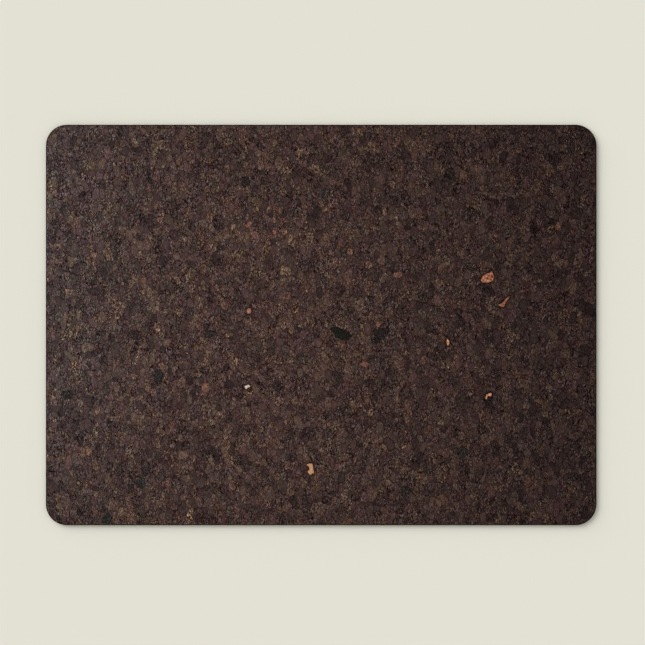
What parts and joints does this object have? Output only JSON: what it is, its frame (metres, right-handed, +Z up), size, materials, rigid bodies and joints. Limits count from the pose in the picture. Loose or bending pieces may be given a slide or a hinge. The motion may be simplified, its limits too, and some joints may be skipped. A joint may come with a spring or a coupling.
{
  "type": "desk mat",
  "caption": "Thin flat desk mat with rounded corners: dark smoked cork agglomerate face with visible bark chips, glued to an anti-slip backing.",
  "frame": {"origin": "middle of the underside, on the desk surface", "axes": "+X along the long side, +Y away from the person at the desk, +Z up out of the cork face"},
  "size_m": [0.55, 0.4, 0.004],
  "materials": {
    "smoked_cork": "matte",
    "charred_cork": "matte",
    "russet_bark": "matte",
    "orange_bark": "matte",
    "brown_bark": "matte",
    "pale_cork": "matte",
    "glue_film": "satin",
    "grip_rubber": "matte"
  },
  "bodies": {
    "root": {"grip_backing": "grip_rubber", "adhesive_film": "glue_film", "face_sheet": "smoked_cork", "eyed_russet_chip": "russet_bark", "streaked_russet_chip": "russet_bark", "bright_orange_chip": "orange_bark", "hooked_orange_chip": "orange_bark", "notched_tan_chip": "pale_cork", "cream_chip": "pale_cork", "dull_orange_wedge_chip": "orange_bark", "small_orange_chip": "orange_bark", "long_orange_chip": "orange_bark", "square_orange_chip": "orange_bark", "upper_red_brown_chip": "brown_bark", "left_red_brown_chip": "brown_bark", "middle_red_brown_chip": "brown_bark", "rose_brown_chip": "brown_bark", "oblong_brown_chip": "brown_bark", "amber_chip": "orange_bark", "centre_charred_chip": "charred_cork", "ragged_charred_chip": "charred_cork", "tall_charred_chip": "charred_cork", "left_edge_charred_chip": "charred_cork", "flat_charred_chip": "charred_cork", "lower_left_charred_chip": "charred_cork", "bottom_edge_charred_chip": "charred_cork", "lower_right_charred_chip": "charred_cork", "lower_charred_chip": "charred_cork", "wide_charred_chip": "charred_cork", "upper_left_charred_chip": "charred_cork", "upper_charred_chip": "charred_cork"}
  },
  "joints": []
}
